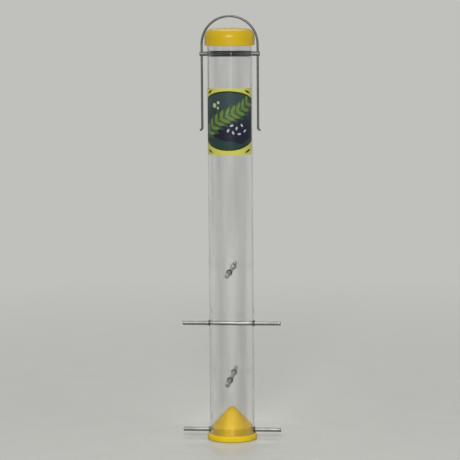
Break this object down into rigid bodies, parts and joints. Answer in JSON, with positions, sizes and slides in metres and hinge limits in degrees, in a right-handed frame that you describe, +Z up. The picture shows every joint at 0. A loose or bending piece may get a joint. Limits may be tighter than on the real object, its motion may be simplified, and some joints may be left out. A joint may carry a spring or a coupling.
{
  "type": "tube bird feeder",
  "caption": "Clear tube seed feeder with crossing metal perch rods, a moulded base with a seed cone, a lift-off lid and a sliding wire bail to hang it by.",
  "frame": {"origin": "centre of the base's underside, on the surface that the feeder stands on", "axes": "+Z up along the tube; +X along the lowest perch rod and the bail rod; -Y is the front, where the label is"},
  "size_m": [0.14, 0.14, 0.6043],
  "materials": {
    "clear_tube": "extruded clear polycarbonate, glossy",
    "yellow_plastic": "moulded yellow ABS, satin gloss",
    "steel_rod": "drawn stainless steel rod",
    "bail_wire": "drawn steel wire, dull grey",
    "black_rubber": "moulded nitrile rubber",
    "black_sleeve": "extruded vinyl sleeve",
    "printed_label": null
  },
  "bodies": {
    "feeder": {"tube": "clear_tube", "label": "printed_label", "base": "yellow_plastic", "seed_cone": "yellow_plastic", "perch_1": "steel_rod", "perch_2": "steel_rod", "perch_3": "steel_rod", "perch_4": "steel_rod", "perch_1_ring_left": "black_rubber", "perch_1_ring_right": "black_rubber", "perch_2_ring_front": "black_rubber", "perch_2_ring_back": "black_rubber", "perch_3_ring_left": "black_rubber", "perch_3_ring_right": "black_rubber", "perch_4_ring_front": "black_rubber", "perch_4_ring_back": "black_rubber"},
    "bail_carrier": {"bail_rod": "steel_rod", "bail_rod_sleeve": "black_sleeve"},
    "bail": {"bail": "bail_wire"},
    "lid": {"lid": "yellow_plastic"}
  },
  "joints": [
    {"name": "bail_swing", "type": "hinge", "parent": "feeder", "child": "bail_carrier", "pos_m": [0, 0, 0.55], "axis": [1, 0, 0], "range_deg": [-90, 90]},
    {"name": "bail_slide", "type": "slide", "parent": "bail_carrier", "child": "bail", "axis": [0, 0, 1], "range_m": [0, 0.096]},
    {"name": "lid_lift", "type": "slide", "parent": "feeder", "child": "lid", "axis": [0, 0, 1], "range_m": [0, 0.072]}
  ],
  "couplings": [
    {"joint": "lid_lift", "follows": "bail_slide", "ratio": 0.75}
  ]
}
